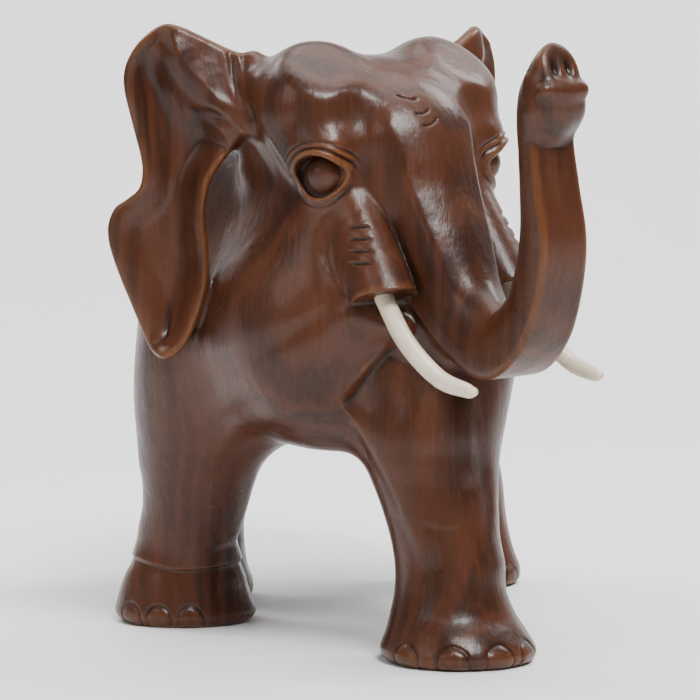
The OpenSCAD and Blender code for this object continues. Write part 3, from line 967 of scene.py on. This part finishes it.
def wood():
    m, tree, shader = material("stained_wood")
    at = add(tree, "TexCoord").outputs["Object"]
    sway = noise(tree, stretched(tree, at, (1, 1, 0.35)), 14, 2)
    swayed = add(tree, "VectorMath", {"operation": "MULTIPLY_ADD"},
                 i0=sway, i1=(0.02, 0.02, 0), i2=at).outputs[0]
    rings = add(tree, "TexWave", {"wave_type": "RINGS", "rings_direction": "Z", "wave_profile": "SIN"},
                Vector=stretched(tree, swayed, (1, 0.75, 0.12), (0.16, 0.1, 0)), Scale=34, Distortion=5,
                Detail=3, Detail_Scale=1.6, Detail_Roughness=0.6).outputs["Fac"]
    cloud = noise(tree, stretched(tree, at, (1, 1, 0.4)), 22, 3)
    streak = noise(tree, stretched(tree, swayed, (1, 1, 0.045)), 420, 4, 0.6)
    fibre = noise(tree, stretched(tree, swayed, (1, 1, 0.03)), 1500, 2, 0.6)
    edge = add(tree, "Attribute", {"attribute_name": "edge"}).outputs["Fac"]
    ridge = add(tree, "Attribute", {"attribute_name": "ridge"}).outputs["Fac"]

    tone = mix(tree, ramp(tree, cloud, 0.35, 0.68), DARK, BROWN)
    tone = mix(tree, math_node(tree, "MULTIPLY", ramp(tree, rings, 0.25, 0.95), 0.5), tone, RED)
    tone = mix(tree, ramp(tree, streak, 0.45, 0.72, 0, 0.3), tone, mix(tree, 0.3, RED, AMBER))
    # Amber on convex ridges and edges: a painted highlight where they catch the light, together with
    # rubbed-through stain.
    convex_highlight_and_rub = math_node(tree, "ADD", ramp(tree, ridge, 0.08, 0.35, 0, 0.7), ramp(tree, edge, 0.3, 0.95, 0, 0.4))
    highlight_and_wear = math_node(tree, "MULTIPLY", convex_highlight_and_rub, ramp(tree, streak, 0.25, 0.6, 0.35, 1.0))
    highlight_and_wear = math_node(tree, "MULTIPLY", highlight_and_wear, ramp(tree, cloud, 0.3, 0.6, 0.45, 1.0))
    tone = mix(tree, math_node(tree, "MULTIPLY", highlight_and_wear, 0.6), tone, AMBER)
    # Painted shade: hollows and creases, found from the curvature, are darkened towards near-black.
    painted_hollow_shade = math_node(tree, "ADD", ramp(tree, ridge, -0.03, -0.25, 0, 0.55),
                    ramp(tree, edge, -0.15, -0.8, 0, 0.35))
    tone = mix(tree, painted_hollow_shade, tone, PORE_AND_SHADE_BLACK)
    tone = mix(tree, ramp(tree, fibre, 0.36, 0.28, 0, 0.35), tone, PORE_AND_SHADE_BLACK)
    tree.links.new(tone, shader.inputs["Base Color"])

    lacquer = ramp(tree, noise(tree, at, 60, 4), 0.3, 0.7, 0.27, 0.36)
    rough = math_node(tree, "ADD", lacquer, ramp(tree, fibre, 0.5, 0.3, 0, 0.1))
    tree.links.new(rough, shader.inputs["Roughness"])
    shader.inputs["Specular IOR Level"].default_value = 0.26
    shader.inputs["Coat Weight"].default_value = 0.07
    shader.inputs["Coat Roughness"].default_value = 0.16
    shader.inputs["Coat IOR"].default_value = 1.5
    grain = add(tree, "Bump", Strength=0.25, Distance=0.00025, Height=fibre).outputs[0]
    grain = add(tree, "Bump", Strength=0.35, Distance=0.0006, Height=streak, Normal=grain).outputs[0]
    waves = noise(tree, at, 75, 2)
    grain = add(tree, "Bump", Strength=0.4, Distance=0.0016, Height=waves, Normal=grain).outputs[0]
    tree.links.new(grain, shader.inputs["Normal"])
    return m


def cream():
    m, tree, shader = material("cream_tusk")
    at = add(tree, "TexCoord").outputs["Object"]
    cloud = noise(tree, at, 45, 3)
    layer = noise(tree, stretched(tree, at, (1, 1, 0.25)), 500, 3)
    tone = mix(tree, ramp(tree, cloud, 0.3, 0.7), rgb(226, 214, 192), rgb(206, 190, 164))
    tone = mix(tree, ramp(tree, layer, 0.5, 0.75, 0, 0.35), tone, rgb(186, 164, 132))
    tree.links.new(tone, shader.inputs["Base Color"])
    tree.links.new(ramp(tree, layer, 0.3, 0.7, 0.2, 0.3), shader.inputs["Roughness"])
    shader.inputs["Subsurface Weight"].default_value = 0.15
    shader.inputs["Subsurface Scale"].default_value = 0.004
    shader.inputs["Coat Weight"].default_value = 0.4
    shader.inputs["Coat Roughness"].default_value = 0.1
    bump = add(tree, "Bump", Strength=0.2, Distance=0.0003, Height=layer).outputs[0]
    tree.links.new(bump, shader.inputs["Normal"])
    return m


def pale(name, colour, rough):
    m, tree, shader = material(name)
    at = add(tree, "TexCoord").outputs["Object"]
    shade = [v * 0.985 for v in colour[:3]] + [1]
    tone = mix(tree, ramp(tree, noise(tree, at, 3, 3), 0.3, 0.7), colour, shade)
    tree.links.new(tone, shader.inputs["Base Color"])
    shader.inputs["Roughness"].default_value = rough
    return m


# ---------------------------------------------------------------- tusks and eyes
# A tusk's centre line in the head's frame, with its share of the full radius.
TUSK_LINE = [(36.5, 32, -53, 1), (38.5, 52, -74, 0.99), (39, 78, -90, 0.93), (37.5, 98, -95, 0.76),
             (37, 103, -95.5, 0.5)]


def in_frame(q):
    return (from_head(q) - STAND) * MM


def sweep(name, line, radii, sides):
    """A round tube along a line in metres, closed at both ends."""
    line = np.array(line, dtype=float)
    ahead = np.gradient(line, axis=0)
    ahead /= np.linalg.norm(ahead, axis=1)[:, None]
    across = np.cross(ahead, np.array([0.0, 0.0, 1.0]))
    across /= np.linalg.norm(across, axis=1)[:, None]
    over_it = np.cross(across, ahead)
    verts, faces = [], []
    for c, r, x, y in zip(line, radii, across, over_it):
        verts += [tuple(c + r * (math.cos(w) * x + math.sin(w) * y))
                  for w in (2 * math.pi * i / sides for i in range(sides))]
    for i in range(len(line) - 1):
        for j in range(sides):
            k = (j + 1) % sides
            faces.append((i * sides + j, i * sides + k, (i + 1) * sides + k, (i + 1) * sides + j))
    faces.append(tuple(range(sides)))
    faces.append(tuple(len(verts) - 1 - i for i in range(sides)))
    mesh = bpy.data.meshes.new(name)
    mesh.from_pydata(verts, [], faces)
    mesh.update()
    piece = bpy.data.objects.new(name, mesh)
    bpy.context.scene.collection.objects.link(piece)
    return piece


TUSK_R = 4.7
PEG_R = 3
PEG_LEN = 16


def tusk(side):
    """A tusk with a rounded tip and, inside the sleeve, its peg."""
    s = 1 if side == "right" else -1
    body = curve(TUSK_LINE, 14)
    points = [SLEEVE_END - PEG_LEN * TUSK_DIR, SLEEVE_END - 0.3 * TUSK_DIR]
    radii = [PEG_R, PEG_R]
    points += [row[:3] for row in body]
    radii += [TUSK_R * row[3] for row in body]
    tip, ahead = body[-1][:3], np.array([0, 1, -0.08])
    for w in np.linspace(0.2, 1.45, 8):
        points.append(tip + ahead * TUSK_R * 0.5 * math.sin(w))
        radii.append(TUSK_R * 0.5 * math.cos(w))
    line = [in_frame(np.array(p) * (s, 1, 1)) for p in points]
    piece = sweep("tusk_" + side + "_carved", line, [r * MM for r in radii], 40)
    piece.data.shade_smooth()
    return piece


BALL_R = 10.1
# The ring round the pupil: its radius, depth and width.
PUPIL_R, PUPIL_DEEP, PUPIL_WIDE = 4.2, 0.35, 0.45


def eyeball(side):
    """An eyeball: a fine grid pressed onto a sphere, with a shallow ring round the pupil."""
    s = 1 if side == "right" else -1
    centre = EYE * (s, 1, 1)
    out, along, up = EYE_OUT * (s, 1, 1), EYE_ALONG * (s, 1, 1), EYE_UP * (s, 1, 1)
    verts, faces, rows, sides = [], [], 36, 64
    for i in range(rows + 1):
        w = math.pi * (i + 0.02) / (rows + 0.04)
        ring = w * BALL_R
        r = BALL_R - PUPIL_DEEP * math.exp(-((ring - PUPIL_R) / PUPIL_WIDE) ** 2)
        for j in range(sides):
            t = 2 * math.pi * j / sides
            q = centre + r * (math.cos(w) * out + math.sin(w) * (math.cos(t) * along + math.sin(t) * up))
            verts.append(tuple(in_frame(q)))
    turn = 1 if s < 0 else -1
    for i in range(rows):
        for j in range(sides):
            k = (j + 1) % sides
            face = (i * sides + j, i * sides + k, (i + 1) * sides + k, (i + 1) * sides + j)
            faces.append(face[::turn])
    faces.append(tuple(range(sides))[::-turn])
    faces.append(tuple(rows * sides + j for j in range(sides))[::turn])
    mesh = bpy.data.meshes.new("eye_" + side)
    mesh.from_pydata(verts, [], faces)
    mesh.update()
    mesh.shade_smooth()
    piece = bpy.data.objects.new("eye_" + side + "_carved", mesh)
    bpy.context.scene.collection.objects.link(piece)
    return piece


# ---------------------------------------------------------------- camera, floor and light
def set_camera():
    data = bpy.data.cameras.new("camera")
    data.lens = 135
    data.sensor_width = 36
    camera = bpy.data.objects.new("camera", data)
    camera.location = (0.0016, -1.4173, 0.2186)
    camera.rotation_euler = (math.radians(90 - 2.944), 0, 0)
    bpy.context.scene.collection.objects.link(camera)
    bpy.context.scene.camera = camera


def set_stage():
    """A pale floor that rises behind the figure in a wide curve."""
    wide, near, back, bend, tall = 14, -14, 1.6, 1.2, 8
    rows = [(near, 0), (back, 0)]
    rows += [(back + bend * math.sin(w), bend * (1 - math.cos(w)))
             for w in np.linspace(0, math.pi / 2, 24)[1:]]
    rows.append((back + bend, tall))
    verts = [(x, y, z) for y, z in rows for x in (-wide, wide)]
    faces = [(2 * i, 2 * i + 1, 2 * i + 3, 2 * i + 2) for i in range(len(rows) - 1)]
    mesh = bpy.data.meshes.new("floor")
    mesh.from_pydata(verts, [], faces)
    mesh.shade_smooth()
    floor = bpy.data.objects.new("floor", mesh)
    bpy.context.scene.collection.objects.link(floor)
    floor.data.materials.append(pale("pale_floor", rgb(246, 246, 246), 0.6))


def area_light(name, at, target, size, power):
    data = bpy.data.lights.new(name, "AREA")
    data.shape = "RECTANGLE"
    data.size, data.size_y = size
    data.energy = power
    light = bpy.data.objects.new(name, data)
    light.location = at
    light.rotation_euler = (Vector(target) - Vector(at)).to_track_quat("-Z", "Y").to_euler()
    bpy.context.scene.collection.objects.link(light)


def set_light():
    aim = (0, 0, 0.18)
    area_light("key_light", (0.5, -1.3, 1.7), aim, (0.7, 0.55), 52)
    area_light("left_light", (-1.3, -1.1, 1.0), aim, (0.7, 0.9), 6)
    area_light("top_light", (0.1, 0.15, 1.8), aim, (1.2, 1.0), 20)
    area_light("back_light_left", (-1.6, 1.2, 2.2), (-0.3, 2.4, 0.3), (1.2, 1.2), 60)
    area_light("back_light_right", (1.6, 1.2, 2.2), (0.3, 2.4, 0.3), (1.2, 1.2), 60)
    world = bpy.data.worlds.new("studio")
    world.use_nodes = True
    world.node_tree.nodes["Background"].inputs["Color"].default_value = (1, 1, 1, 1)
    world.node_tree.nodes["Background"].inputs["Strength"].default_value = 0.2
    bpy.context.scene.world = world


# ---------------------------------------------------------------- the scene
WOOD_NODES = ["torso", "head", "trunk", "tail", "leg_front_left", "leg_front_right", "leg_hind_left",
              "leg_hind_right", "ear_left", "ear_right"]

set_camera()
set_stage()
set_light()
timber, tusk_finish = wood(), cream()
figure = carve_figure()
figure.data.materials.append(timber)
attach(figure, "root")
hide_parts(*WOOD_NODES)
for side in ("left", "right"):
    piece = tusk(side)
    piece.data.materials.append(tusk_finish)
    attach(piece, "root")
    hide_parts("tusk_" + side)
    ball = eyeball(side)
    ball.data.materials.append(timber)
    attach(ball, "root")
    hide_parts("eye_" + side)
